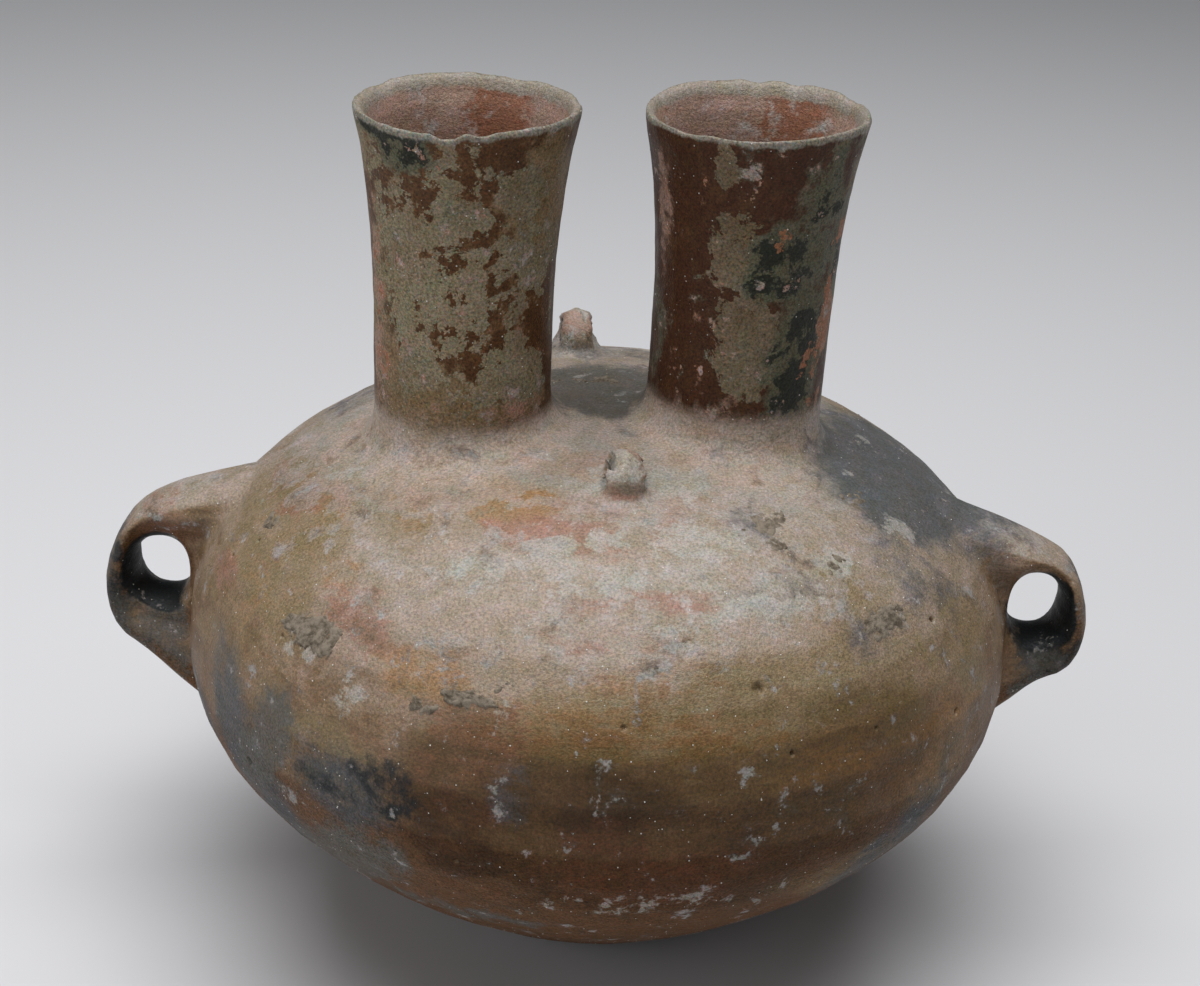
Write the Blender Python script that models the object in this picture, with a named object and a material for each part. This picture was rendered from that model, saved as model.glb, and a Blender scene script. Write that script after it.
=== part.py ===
"""A hand-built pottery jar with two necks, two strap handles and two pierced lugs.

Metres, +Z up. The origin is the centre of the flat foot, +X runs along the line through
both necks, and the front of the jar faces -Y. It is one piece of fired clay, hollow and
open at both mouths.
"""

import math

import bmesh
import bpy

# Body: a turned shape, round at the belly, tapering in one long curve to a small flat foot
BELLY_RADIUS = 0.112
BELLY_HEIGHT = 0.083
CROWN_RISE = 0.0648
CROWN_ROUNDNESS = 2.42
KEEL_CURVE = 0.047
FOOT_RADIUS = 0.035
FOOT_EDGE = 0.002
BODY_WALL = 0.006
FLOOR_THICKNESS = 0.009

# Necks: upright tubes that flare to a thin lip, each luted on with a soft fillet
LEFT_NECK_X = -0.0389
RIGHT_NECK_X = 0.0333
LEFT_LEAN = 0.0007
RIGHT_LEAN = 0.0011
NECK_RADIUS = 0.0233
RIM_RADIUS = 0.0287
RIM_HEIGHT = 0.2317
FLARE_LENGTH = 0.0607
FLARE_POWER = 2.35
NECK_WALL = 0.0042
LIP_THICKNESS = 0.0032
NECK_FILLET = 0.0075

# Strap handles: both stand in one upright plane, turned a little off the line of the necks.
# A station is how far a strap's middle lies outside the belly's radius and above the belly,
# then the strap's thickness and its width there. The first and last stations are in the wall.
HANDLE_TURN = math.radians(-6.5)
LEFT_STATIONS = (
    (-0.0300, 0.0380, 0.0130, 0.028),
    (-0.0160, 0.0341, 0.0130, 0.026),
    (-0.0035, 0.0307, 0.0130, 0.024),
    (0.0075, 0.0286, 0.0090, 0.022),
    (0.0165, 0.0230, 0.0070, 0.021),
    (0.0216, 0.0095, 0.0070, 0.020),
    (0.0198, -0.0030, 0.0080, 0.020),
    (0.0120, -0.0080, 0.0130, 0.021),
    (0.0010, -0.0140, 0.0190, 0.025),
    (-0.0120, -0.0260, 0.0150, 0.030),
)
RIGHT_STATIONS = (
    (-0.0290, 0.0415, 0.0120, 0.028),
    (-0.0160, 0.0360, 0.0125, 0.026),
    (-0.0035, 0.0318, 0.0125, 0.024),
    (0.0065, 0.0294, 0.0085, 0.022),
    (0.0148, 0.0244, 0.0070, 0.021),
    (0.0183, 0.0125, 0.0070, 0.020),
    (0.0160, 0.0020, 0.0080, 0.020),
    (0.0085, -0.0012, 0.0102, 0.021),
    (-0.0015, -0.0062, 0.0170, 0.024),
    (-0.0130, -0.0170, 0.0140, 0.029),
)
STRAP_SQUARENESS = 0.75

# Handle holes: clay fills each strap's loop, and the hole through it is narrowest halfway between
# its two faces. Both are ovals: middle outside the belly's radius, middle above the belly, half
# width and half height.
LEFT_FILLING = (0.0, 0.0100, 0.0215, 0.0205)
RIGHT_FILLING = (0.0, 0.0125, 0.0180, 0.0165)
FILLING_HALF_DEPTH = 0.0092
FILLING_SQUARENESS = 0.5
LEFT_WAIST = (0.0095, 0.0117, 0.0078, 0.0085)
LEFT_MOUTH = (0.0095, 0.0138, 0.0100, 0.0150)
RIGHT_WAIST = (0.0070, 0.0161, 0.0071, 0.0092)
RIGHT_MOUTH = (0.0073, 0.0178, 0.0088, 0.0142)
MOUTH_DEPTH = 0.010
HOLE_REACH = 0.017
HOLE_SQUARENESS = 0.85

# Lugs, pierced for a cord, on the crown in front of the necks and behind them
LUG_WIDTH = 0.0095
LUG_FOOT_WIDTH = 0.0140
LUG_SQUARENESS = 1.0
LUG_HOLE_RADIUS = 0.0026
LUG_ROOF = 0.004
FRONT_LUG_X = 0.0017
FRONT_LUG_DISTANCE = 0.0395
FRONT_LUG_HEIGHT = 0.0092
FRONT_LUG_RADIUS = 0.0082
BACK_LUG_X = -0.0055
BACK_LUG_DISTANCE = 0.058
BACK_LUG_HEIGHT = 0.0125
BACK_LUG_RADIUS = 0.0092

# Finish of the clay
CLAY_COLOUR = (0.25, 0.13, 0.075, 1.0)
CLAY_ROUGHNESS = 0.55

# How finely the round shapes are divided
BODY_SIDES = 56
CAVITY_SIDES = 40
NECK_SIDES = 32
BORE_SIDES = 28
STRAP_STEPS = 3
STRAP_SIDES = 12
FILLING_SIDES = 18
FILLING_TURNS = (-75, -45, -15, 15, 45, 75)
HOLE_SIDES = 20
HOLE_STEPS = 4
LUG_STEPS = 16
LUG_SIDES = 8
CROWN_STEPS = 10
KEEL_STEPS = 9
NECK_STEPS = 8
FILLET_STEPS = 4
FOOT_TURN = math.radians(45)
LIP_TURNS = (math.radians(45), math.radians(80))

# Seams: how far one shape sinks under the skin of another, or a cutter runs past a face
SINK = 0.0004
OVERRUN = 0.006


def clear_scene():
    for thing in list(bpy.data.objects):
        bpy.data.objects.remove(thing)


def clay_material():
    material = bpy.data.materials.new("fired_clay")
    material.use_nodes = True
    shader = material.node_tree.nodes["Principled BSDF"]
    shader.inputs["Base Color"].default_value = CLAY_COLOUR
    shader.inputs["Roughness"].default_value = CLAY_ROUGHNESS
    shader.inputs["Metallic"].default_value = 0.0
    return material


def skinned(name, rings, looped=False):
    """An object whose skin joins each ring of points to the next.

    A ring of a single point closes an end. A looped skin joins its last ring to its first.
    """
    mesh = bmesh.new()
    made = [[mesh.verts.new(point) for point in ring] for ring in rings]
    pairs = list(zip(made, made[1:]))
    if looped:
        pairs.append((made[-1], made[0]))
    for near, far in pairs:
        sides = max(len(near), len(far))
        for here in range(sides):
            there = (here + 1) % sides
            corners = [
                near[here % len(near)],
                near[there % len(near)],
                far[there % len(far)],
                far[here % len(far)],
            ]
            mesh.faces.new(list(dict.fromkeys(corners)))
    bmesh.ops.recalc_face_normals(mesh, faces=mesh.faces)
    data = bpy.data.meshes.new(name)
    mesh.to_mesh(data)
    mesh.free()
    made_object = bpy.data.objects.new(name, data)
    bpy.context.scene.collection.objects.link(made_object)
    return made_object


def circle(radius, height, sides, centre_x=0.0):
    """Points of a level circle, or its centre alone where the radius is nothing."""
    if radius == 0:
        return [(centre_x, 0.0, height)]
    turns = [2 * math.pi * side / sides for side in range(sides)]
    return [(centre_x + radius * math.cos(turn), radius * math.sin(turn), height) for turn in turns]


def crown_profile(inset):
    """The upper half of the body's section, from above the belly's ring to its top."""
    radius = BELLY_RADIUS - inset
    rise = CROWN_RISE - inset
    points = []
    for step in range(1, CROWN_STEPS):
        turn = math.pi / 2 * step / CROWN_STEPS
        out = radius * math.cos(turn) ** (2 / CROWN_ROUNDNESS)
        points.append((out, BELLY_HEIGHT + rise * math.sin(turn) ** (2 / CROWN_ROUNDNESS)))
    points.append((0.0, BELLY_HEIGHT + rise))
    return points


def keel_profile(inset, bottom):
    """The lower half of the body's section, from a height up to the belly's ring.

    It is a hyperbola: upright at the belly, and nearly straight where it meets the foot.
    """
    full_bend = math.hypot(1, BELLY_HEIGHT / KEEL_CURVE) - 1
    taper = (BELLY_RADIUS - FOOT_RADIUS) / full_bend
    points = []
    for step in range(KEEL_STEPS + 1):
        height = bottom + (BELLY_HEIGHT - bottom) * step / KEEL_STEPS
        drop = (BELLY_HEIGHT - height) / KEEL_CURVE
        slope = taper / KEEL_CURVE * drop / math.hypot(1, drop)
        outer = BELLY_RADIUS - taper * (math.hypot(1, drop) - 1)
        points.append((outer - inset * math.hypot(1, slope), height))
    return points


def turned(name, profile, sides):
    return skinned(name, [circle(radius, height, sides) for radius, height in profile])


def quarter_round(size, turn):
    """How far a rounded edge stands back from its side and from its end, at an angle round it."""
    return size * (1 - math.cos(turn)), size * (1 - math.sin(turn))


def make_body():
    back, up = quarter_round(FOOT_EDGE, FOOT_TURN)
    foot = [(0.0, 0.0), (FOOT_RADIUS - FOOT_EDGE, 0.0), (FOOT_RADIUS - back, up)]
    return turned("jar", foot + keel_profile(0.0, FOOT_EDGE) + crown_profile(0.0), BODY_SIDES)


def make_cavity():
    walls = keel_profile(BODY_WALL, FLOOR_THICKNESS) + crown_profile(BODY_WALL)
    return turned("cavity", [(0.0, FLOOR_THICKNESS)] + walls, CAVITY_SIDES)


def crown_height(x, y, inset=0.0):
    """Height of the body's upper face over a point of its plan, or of its inner face."""
    share = min(math.hypot(x, y) / (BELLY_RADIUS - inset), 1.0)
    fall = (1 - share**CROWN_ROUNDNESS) ** (1 / CROWN_ROUNDNESS)
    return BELLY_HEIGHT + (CROWN_RISE - inset) * fall


def neck_radius(height, straight, rim):
    """Radius of a neck's face at a height, from its straight part to its rim."""
    flare = max(0.0, 1 - (RIM_HEIGHT - height) / FLARE_LENGTH)
    return straight + (rim - straight) * flare**FLARE_POWER


def neck_centre(neck_x, lean, height):
    base = crown_height(neck_x, 0.0)
    return neck_x + lean * (height - base) / (RIM_HEIGHT - base)


def neck_column(neck_x, lean, turn):
    """Points up one side of a neck: its buried end, the fillet on the crown, the wall, the lip."""
    across = math.cos(turn)
    along = math.sin(turn)

    def point(radius, height):
        centre = neck_centre(neck_x, lean, height)
        return (centre + radius * across, radius * along, height)

    def crown_at(radius):
        return crown_height(neck_x + radius * across, radius * along)

    corner = crown_at(NECK_RADIUS)
    outer = crown_at(NECK_RADIUS + NECK_FILLET)
    column = [point(NECK_RADIUS, corner - BODY_WALL / 2)]
    for step in range(FILLET_STEPS + 1):
        share = step / FILLET_STEPS
        radius = NECK_RADIUS + NECK_FILLET * (1 - share) ** 2
        height = (1 - share) ** 2 * outer + 2 * share * (1 - share) * corner
        height += share**2 * (corner + NECK_FILLET)
        column.append(point(radius, height - SINK * (1 - share)))
    foot_height = corner + NECK_FILLET
    lip_round = LIP_THICKNESS / 2
    wall_top = RIM_HEIGHT - lip_round
    for step in range(1, NECK_STEPS + 1):
        height = foot_height + (wall_top - foot_height) * step / NECK_STEPS
        column.append(point(neck_radius(height, NECK_RADIUS, RIM_RADIUS), height))
    for turn_up in LIP_TURNS:
        back, down = quarter_round(lip_round, turn_up)
        column.append(point(RIM_RADIUS - back, RIM_HEIGHT - down))
    return column


def make_neck(name, neck_x, lean):
    turns = [2 * math.pi * side / NECK_SIDES for side in range(NECK_SIDES)]
    columns = [neck_column(neck_x, lean, turn) for turn in turns]
    rings = [list(ring) for ring in zip(*columns)]
    buried = (neck_x, 0.0, crown_height(neck_x, 0.0) - BODY_WALL / 2)
    mouth = (neck_x + lean, 0.0, RIM_HEIGHT)
    return skinned(name, [[buried], *rings, [mouth]])


def make_bore(name, neck_x, lean):
    """The cutter of a neck's bore, from above its lip down into the body's cavity."""
    bore_radius = NECK_RADIUS - NECK_WALL
    mouth_radius = RIM_RADIUS - LIP_THICKNESS
    lip_round = LIP_THICKNESS / 2
    far_side = abs(neck_x) + NECK_RADIUS
    bottom = crown_height(far_side, 0.0, BODY_WALL) - OVERRUN
    wall_top = RIM_HEIGHT - lip_round
    section = [(0.0, bottom)]
    for step in range(NECK_STEPS + 1):
        height = bottom + (wall_top - bottom) * step / NECK_STEPS
        section.append((neck_radius(height, bore_radius, mouth_radius), height))
    for turn_up in LIP_TURNS:
        back, down = quarter_round(lip_round, turn_up)
        section.append((mouth_radius + back, RIM_HEIGHT - down))
    section.append((section[-1][0], RIM_HEIGHT + OVERRUN))
    section.append((0.0, RIM_HEIGHT + OVERRUN))
    rings = []
    for radius, height in section:
        centre = neck_centre(neck_x, lean, height)
        rings.append(circle(radius, height, BORE_SIDES, centre))
    return skinned(name, rings)


def rounded(value, squareness):
    """A cosine or a sine drawn out towards 1, which squares a round section a little."""
    return math.copysign(abs(value) ** squareness, value)


def strap_ring(azimuth, side, middle, normal, thickness, width, sides, squareness):
    """One section of a strap that lies in the upright plane at an azimuth."""
    ring = []
    for corner in range(sides):
        angle = 2 * math.pi * corner / sides
        lift = rounded(math.cos(angle), squareness) * thickness / 2
        across = side + rounded(math.sin(angle), squareness) * width / 2
        out = middle[0] + normal[0] * lift
        x = out * math.cos(azimuth) - across * math.sin(azimuth)
        y = out * math.sin(azimuth) + across * math.cos(azimuth)
        ring.append((x, y, middle[1] + normal[1] * lift))
    return ring


def upright_oval(azimuth, across, oval, scale, squareness, sides):
    """An oval drawn in a plane beside the upright plane at an azimuth, so far across from it."""
    beyond, rise, half_width, half_height = oval
    ring = []
    for corner in range(sides):
        angle = 2 * math.pi * corner / sides
        out = BELLY_RADIUS + beyond + rounded(math.cos(angle), squareness) * half_width * scale
        height = BELLY_HEIGHT + rise + rounded(math.sin(angle), squareness) * half_height * scale
        x = out * math.cos(azimuth) - across * math.sin(azimuth)
        y = out * math.sin(azimuth) + across * math.cos(azimuth)
        ring.append((x, y, height))
    return ring


def middle_of(ring):
    return [tuple(sum(axis) / len(ring) for axis in zip(*ring))]


def make_filling(name, azimuth, oval):
    """The clay that fills a strap's loop before its hole is cut."""
    rings = []
    for degrees in FILLING_TURNS:
        turn = math.radians(degrees)
        across = FILLING_HALF_DEPTH * rounded(math.sin(turn), FILLING_SQUARENESS)
        scale = rounded(math.cos(turn), FILLING_SQUARENESS)
        rings.append(upright_oval(azimuth, across, oval, scale, 1.0, FILLING_SIDES))
    return skinned(name, [middle_of(rings[0]), *rings, middle_of(rings[-1])])


def make_hole(name, azimuth, waist, mouth):
    """The cutter of a handle's hole: narrow at its waist, and wider towards both faces."""
    levels = [HOLE_REACH, *(MOUTH_DEPTH * step / HOLE_STEPS for step in range(HOLE_STEPS, 0, -1))]
    levels = [-level for level in levels] + [0.0] + levels[::-1]
    rings = []
    for across in levels:
        share = min(abs(across) / MOUTH_DEPTH, 1.0) ** 2
        oval = [narrow + (wide - narrow) * share for narrow, wide in zip(waist, mouth)]
        rings.append(upright_oval(azimuth, across, oval, 1.0, HOLE_SQUARENESS, HOLE_SIDES))
    return skinned(name, [middle_of(rings[0]), *rings, middle_of(rings[-1])])


def smooth_path(stations):
    """The stations with a few more between each pair, on a curve through all of them."""
    path = []
    last = len(stations) - 1
    for index in range(last):
        before = stations[max(index - 1, 0)]
        start = stations[index]
        end = stations[index + 1]
        after = stations[min(index + 2, last)]
        for step in range(STRAP_STEPS):
            share = step / STRAP_STEPS
            path.append(
                [
                    b
                    + 0.5 * share * (c - a)
                    + share**2 * (a - 2.5 * b + 2 * c - 0.5 * d)
                    + share**3 * (1.5 * b - 1.5 * c + 0.5 * d - 0.5 * a)
                    for a, b, c, d in zip(before, start, end, after)
                ]
            )
    path.append(list(stations[last]))
    return path


def make_handle(name, azimuth, stations):
    path = smooth_path(stations)
    rings = []
    for index, (beyond, rise, thickness, width) in enumerate(path):
        behind = path[max(index - 1, 0)]
        ahead = path[min(index + 1, len(path) - 1)]
        run = (ahead[0] - behind[0], ahead[1] - behind[1])
        length = math.hypot(*run)
        normal = (-run[1] / length, run[0] / length)
        middle = (BELLY_RADIUS + beyond, BELLY_HEIGHT + rise)
        ring = strap_ring(
            azimuth, 0.0, middle, normal, thickness, width, STRAP_SIDES, STRAP_SQUARENESS
        )
        rings.append(ring)
    return skinned(name, [middle_of(rings[0]), *rings, middle_of(rings[-1])])


def make_lug(name, azimuth, lug_x, distance, height, radius):
    """A pierced lug: a loop of clay between the circle of its outline and that of its hole."""
    ground = crown_height(lug_x, distance)
    centre = ground + height - radius
    hole = ground + height - LUG_ROOF - LUG_HOLE_RADIUS
    rings = []
    for step in range(LUG_STEPS):
        turn = 2 * math.pi * step / LUG_STEPS
        heading = (math.cos(turn), math.sin(turn))
        along = (hole - centre) * heading[1]
        reach = math.sqrt(along**2 - (hole - centre) ** 2 + radius**2) - along
        distance_out = (LUG_HOLE_RADIUS + reach) / 2
        middle = (distance + heading[0] * distance_out, hole + heading[1] * distance_out)
        nearness = min(max(1 - (middle[1] - ground) / height, 0.0), 1.0)
        width = LUG_WIDTH + (LUG_FOOT_WIDTH - LUG_WIDTH) * nearness
        thickness = reach - LUG_HOLE_RADIUS
        side = -lug_x * math.sin(azimuth)
        ring = strap_ring(
            azimuth, side, middle, heading, thickness, width, LUG_SIDES, LUG_SQUARENESS
        )
        rings.append(ring)
    return skinned(name, rings, looped=True)


def combine(target, helper, operation):
    """Adds a Boolean with the helper, which itself stays out of the render."""
    boolean = target.modifiers.new(helper.name, "BOOLEAN")
    boolean.operation = operation
    boolean.solver = "EXACT"
    boolean.object = helper
    helper.hide_render = True
    helper.display_type = "WIRE"
    helper.parent = target


def make_jar():
    jar = make_body()
    added = [
        make_neck("left_neck", LEFT_NECK_X, LEFT_LEAN),
        make_neck("right_neck", RIGHT_NECK_X, RIGHT_LEAN),
        make_handle("left_handle", math.pi + HANDLE_TURN, LEFT_STATIONS),
        make_handle("right_handle", HANDLE_TURN, RIGHT_STATIONS),
        make_filling("left_filling", math.pi + HANDLE_TURN, LEFT_FILLING),
        make_filling("right_filling", HANDLE_TURN, RIGHT_FILLING),
        make_lug(
            "front_lug",
            -math.pi / 2,
            FRONT_LUG_X,
            FRONT_LUG_DISTANCE,
            FRONT_LUG_HEIGHT,
            FRONT_LUG_RADIUS,
        ),
        make_lug(
            "back_lug",
            math.pi / 2,
            BACK_LUG_X,
            BACK_LUG_DISTANCE,
            BACK_LUG_HEIGHT,
            BACK_LUG_RADIUS,
        ),
    ]
    hollowed = [
        make_cavity(),
        make_bore("left_bore", LEFT_NECK_X, LEFT_LEAN),
        make_bore("right_bore", RIGHT_NECK_X, RIGHT_LEAN),
        make_hole("left_hole", math.pi + HANDLE_TURN, LEFT_WAIST, LEFT_MOUTH),
        make_hole("right_hole", HANDLE_TURN, RIGHT_WAIST, RIGHT_MOUTH),
    ]
    for helper in added:
        combine(jar, helper, "UNION")
    for helper in hollowed:
        combine(jar, helper, "DIFFERENCE")
    jar.data.materials.append(clay_material())
    jar.data.shade_smooth()
    return jar


clear_scene()
make_jar()
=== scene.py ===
"""A double-spouted jar of coarse, hand-built, burnished clay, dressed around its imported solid."""

import math

import bmesh
import bpy
import numpy as np
from mathutils import Matrix, Vector, noise


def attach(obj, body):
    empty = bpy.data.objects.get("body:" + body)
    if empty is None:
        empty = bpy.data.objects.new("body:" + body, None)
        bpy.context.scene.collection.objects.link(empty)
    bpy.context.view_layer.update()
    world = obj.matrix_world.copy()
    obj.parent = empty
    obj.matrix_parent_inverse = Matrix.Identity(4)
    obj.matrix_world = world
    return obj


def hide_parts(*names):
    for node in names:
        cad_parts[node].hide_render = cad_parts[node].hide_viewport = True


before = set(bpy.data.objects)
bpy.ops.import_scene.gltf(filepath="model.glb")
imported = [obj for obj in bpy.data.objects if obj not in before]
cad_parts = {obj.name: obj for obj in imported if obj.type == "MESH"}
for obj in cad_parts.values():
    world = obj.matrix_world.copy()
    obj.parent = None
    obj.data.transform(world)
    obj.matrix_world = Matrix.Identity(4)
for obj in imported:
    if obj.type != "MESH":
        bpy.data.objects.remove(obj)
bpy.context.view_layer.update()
scene = bpy.context.scene


# The view. The photograph was taken from above the jar and a little to its left, with a long lens.
# Its tilt and its small roll were worked out from the outline of the belly and of the two rims.
VIEW_FROM = Vector((-0.0421, -0.5066, 0.3704))
VIEW_DOWN = math.radians(25.9)
VIEW_TO_RIGHT = math.radians(4.63)
VIEW_ROLL = math.radians(2.635)
LENS_MM = 62.445
SENSOR_MM = 36.0

level = Vector((math.sin(VIEW_TO_RIGHT), math.cos(VIEW_TO_RIGHT), 0.0))
ahead = level * math.cos(VIEW_DOWN) - Vector((0.0, 0.0, math.sin(VIEW_DOWN)))
sideways = Vector((math.cos(VIEW_TO_RIGHT), -math.sin(VIEW_TO_RIGHT), 0.0))
upwards = sideways.cross(ahead)
camera = bpy.data.objects.new("camera", bpy.data.cameras.new("camera"))
camera.data.lens = LENS_MM
camera.data.sensor_width = SENSOR_MM
camera.matrix_world = Matrix.LocRotScale(
    VIEW_FROM,
    Matrix(
        (
            sideways * math.cos(VIEW_ROLL) + upwards * math.sin(VIEW_ROLL),
            upwards * math.cos(VIEW_ROLL) - sideways * math.sin(VIEW_ROLL),
            -ahead,
        )
    ).transposed(),
    None,
)
scene.collection.objects.link(camera)
scene.camera = camera
scene.view_settings.view_transform = "Standard"


# The floor and the light. A plain pale floor stands in for what the jar stood on.
# One broad soft lamp hangs over it, as in a museum case, a weaker one stands to its left, and a
# grey room gives the rest.
FLOOR_REACH = 4.0
FLOOR_COLOUR = (0.70, 0.70, 0.72, 1.0)
FLOOR_ROUGHNESS = 0.9
LAMP_PLACE = (-0.05, -0.06, 1.25)
LAMP_WIDTH = 1.30
LAMP_DEPTH = 0.90
LAMP_WATTS = 18.0
SIDE_LAMP_PLACE = (-1.10, -0.75, 0.55)
SIDE_LAMP_AIM = Vector((0.0, 0.0, 0.12))
SIDE_LAMP_SIZE = 0.8
SIDE_LAMP_WATTS = 3.2
ROOM_COLOUR = (0.92, 0.96, 1.0, 1.0)
ROOM_STRENGTH = 0.10

floor_mesh = bpy.data.meshes.new("floor")
floor_corners = [(x * FLOOR_REACH, y * FLOOR_REACH, 0.0) for x, y in ((-1, -1), (1, -1), (1, 1), (-1, 1))]
floor_mesh.from_pydata(floor_corners, [], [(0, 1, 2, 3)])
floor = bpy.data.objects.new("floor", floor_mesh)
scene.collection.objects.link(floor)
floor_paint = bpy.data.materials.new("pale_floor")
floor_paint.use_nodes = True
floor_shader = floor_paint.node_tree.nodes["Principled BSDF"]
floor_shader.inputs["Base Color"].default_value = FLOOR_COLOUR
floor_shader.inputs["Roughness"].default_value = FLOOR_ROUGHNESS
floor_mesh.materials.append(floor_paint)

lamp = bpy.data.objects.new("overhead_lamp", bpy.data.lights.new("overhead_lamp", "AREA"))
lamp.data.shape = "RECTANGLE"
lamp.data.size = LAMP_WIDTH
lamp.data.size_y = LAMP_DEPTH
lamp.data.energy = LAMP_WATTS
lamp.location = LAMP_PLACE
scene.collection.objects.link(lamp)

side_lamp = bpy.data.objects.new("side_lamp", bpy.data.lights.new("side_lamp", "AREA"))
side_lamp.data.size = SIDE_LAMP_SIZE
side_lamp.data.energy = SIDE_LAMP_WATTS
side_lamp.location = SIDE_LAMP_PLACE
to_jar = SIDE_LAMP_AIM - side_lamp.location
side_lamp.rotation_euler = to_jar.to_track_quat("-Z", "Y").to_euler()
scene.collection.objects.link(side_lamp)

room = bpy.data.worlds.new("room")
room.use_nodes = True
room.node_tree.nodes["Background"].inputs["Color"].default_value = ROOM_COLOUR
room.node_tree.nodes["Background"].inputs["Strength"].default_value = ROOM_STRENGTH
scene.world = room


# The jar's clay form. Body, necks, straps and lugs were built up by hand from one coarse clay
# and smeared into each other, so the form is drawn as one skin, at one millimetre, from the solid.
# The middle sizes run inside the thickness of the walls, and tell the hollow's side from the outer.
SKIN_STEP = 0.0010
WELD_DISTANCE = 1e-6
BELLY_HEIGHT = 0.083
BODY_MIDDLE_RADIUS = 0.108
CROWN_MIDDLE_RISE = 0.0618
CROWN_ROUNDNESS = 2.42
NECK_X = {"left": -0.0389, "right": 0.0333}
NECK_MIDDLE_RADIUS = 0.0212
NECK_STARTS = 0.150
BORE_STARTS = 0.12
BORE_FACING = -0.15
RIM_HEIGHT = 0.2317

skin_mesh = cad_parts["jar"].data.copy()
skin_mesh.materials.clear()
welded = bmesh.new()
welded.from_mesh(skin_mesh)
bmesh.ops.remove_doubles(welded, verts=welded.verts, dist=WELD_DISTANCE)
welded.to_mesh(skin_mesh)
welded.free()
jar = bpy.data.objects.new("jar_clay", skin_mesh)
scene.collection.objects.link(jar)


def settled(piece):
    """Turns what a piece's modifiers make into its own plain mesh, and takes the modifiers off."""
    graph = bpy.context.evaluated_depsgraph_get()
    made = bpy.data.meshes.new_from_object(piece.evaluated_get(graph))
    piece.modifiers.clear()
    piece.data = made
    return made


reskin = jar.modifiers.new("skin", "REMESH")
reskin.mode = "VOXEL"
reskin.voxel_size = SKIN_STEP
settled(jar)


def read(mesh, what, name, width=3):
    """Reads a number, or a row of them, for each item of a mesh as one array."""
    values = np.empty(len(what) * width, np.float64)
    what.foreach_get(name, values)
    return values.reshape(-1, width) if width > 1 else values


def eased(value, low, high):
    """Goes smoothly from 0 at one value to 1 at another."""
    share = np.clip((value - low) / (high - low), 0.0, 1.0)
    return share * share * (3.0 - 2.0 * share)


def places_of(mesh):
    return read(mesh, mesh.vertices, "co"), read(mesh, mesh.vertex_normals, "vector")


def nearest_neck(points):
    """The middle of the nearer neck, across, and how far each point is from it, as x, y and distance."""
    middle = np.where(points[:, 0] < (NECK_X["left"] + NECK_X["right"]) / 2, NECK_X["left"], NECK_X["right"])
    across = points[:, 0] - middle
    return across, points[:, 1], np.hypot(across, points[:, 1])


def inner_side(points, normals):
    """True for points of the hollow's own walls, which face its middle."""
    across, along, distance = nearest_neck(points)
    faces_out = (normals[:, 0] * across + normals[:, 1] * along) / np.maximum(distance, 1e-9)
    from_middle = (normals * (points - [0.0, 0.0, BELLY_HEIGHT])).sum(1)
    in_bore = (distance < NECK_MIDDLE_RADIUS) & (points[:, 2] > BORE_STARTS)
    from_axis = np.hypot(points[:, 0], points[:, 1]) / BODY_MIDDLE_RADIUS
    crown = CROWN_MIDDLE_RISE * np.maximum(1.0 - from_axis**CROWN_ROUNDNESS, 0.0) ** (1.0 / CROWN_ROUNDNESS)
    in_body = (from_axis < 1.0) & (from_middle < 0) & (points[:, 2] < BELLY_HEIGHT + crown)
    return np.where(points[:, 2] > NECK_STARTS, faces_out < BORE_FACING, in_body | in_bore)


# Smearing. Where the straps, lugs and necks were luted on, wet clay was pushed into the corners,
# so each corner is filled a little at a time, and what already bulges is left as it is.
HANDLE_HOLES = {
    "left": (-0.1207, 0.0138, 0.0947),
    "right": (0.1182, -0.0135, 0.0991),
}
HANDLE_ZONE = (0.026, 0.042)
LUG_PLACES = ((0.0017, -0.0395, 0.1482), (-0.0055, 0.0580, 0.1478))
LUG_ZONE = (0.009, 0.016)
LUG_HOLE_REACH = 0.0042
LUG_HOLE_EDGE = 0.0015
SHOULDER_HEIGHT = 0.13
NECK_FOOT_HEIGHTS = (0.152, 0.160)
NECK_FOOT_REACH = (0.034, 0.044)
NECK_FOOT_SHARE = 0.6
EVENING_SHARES = (0.5, 0.5, -0.52, 0.5, -0.52, 0.5)
BORE_ROUNDS = 24
BORE_SHARE = 0.6
BORE_END = 0.003
SMEAR_ROUNDS = 60
LEAST_ZONE = 0.01
SOFT_CORNER_RADIUS = 0.0090
FILLING_SHARE = 0.9
SLIDING_SHARE = 0.25


def corner_zones(points):
    """How much each point belongs to a smeared corner: round the straps, the lugs and the necks' feet."""
    zone = np.zeros(len(points))
    for place in HANDLE_HOLES.values():
        zone = np.maximum(zone, 1.0 - eased(np.linalg.norm(points - place, axis=1), *HANDLE_ZONE))
    for place in LUG_PLACES:
        away = points - place
        round_hole = np.hypot(away[:, 1], away[:, 2])
        beside = 1.0 - eased(np.linalg.norm(away, axis=1), *LUG_ZONE)
        zone = np.maximum(zone, beside * eased(round_hole, LUG_HOLE_REACH, LUG_HOLE_REACH + LUG_HOLE_EDGE))
    neck_foot = 1.0 - eased(points[:, 2], *NECK_FOOT_HEIGHTS)
    around_neck = 1.0 - eased(nearest_neck(points)[2], *NECK_FOOT_REACH)
    return np.maximum(zone, NECK_FOOT_SHARE * neck_foot * around_neck * (points[:, 2] > SHOULDER_HEIGHT))


def mean_of_neighbours(points, pairs, count):
    total = np.empty_like(points)
    for axis in range(3):
        total[:, axis] = np.bincount(pairs[:, 0], points[pairs[:, 1], axis], len(points))
        total[:, axis] += np.bincount(pairs[:, 1], points[pairs[:, 0], axis], len(points))
    return total / count[:, None]


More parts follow.
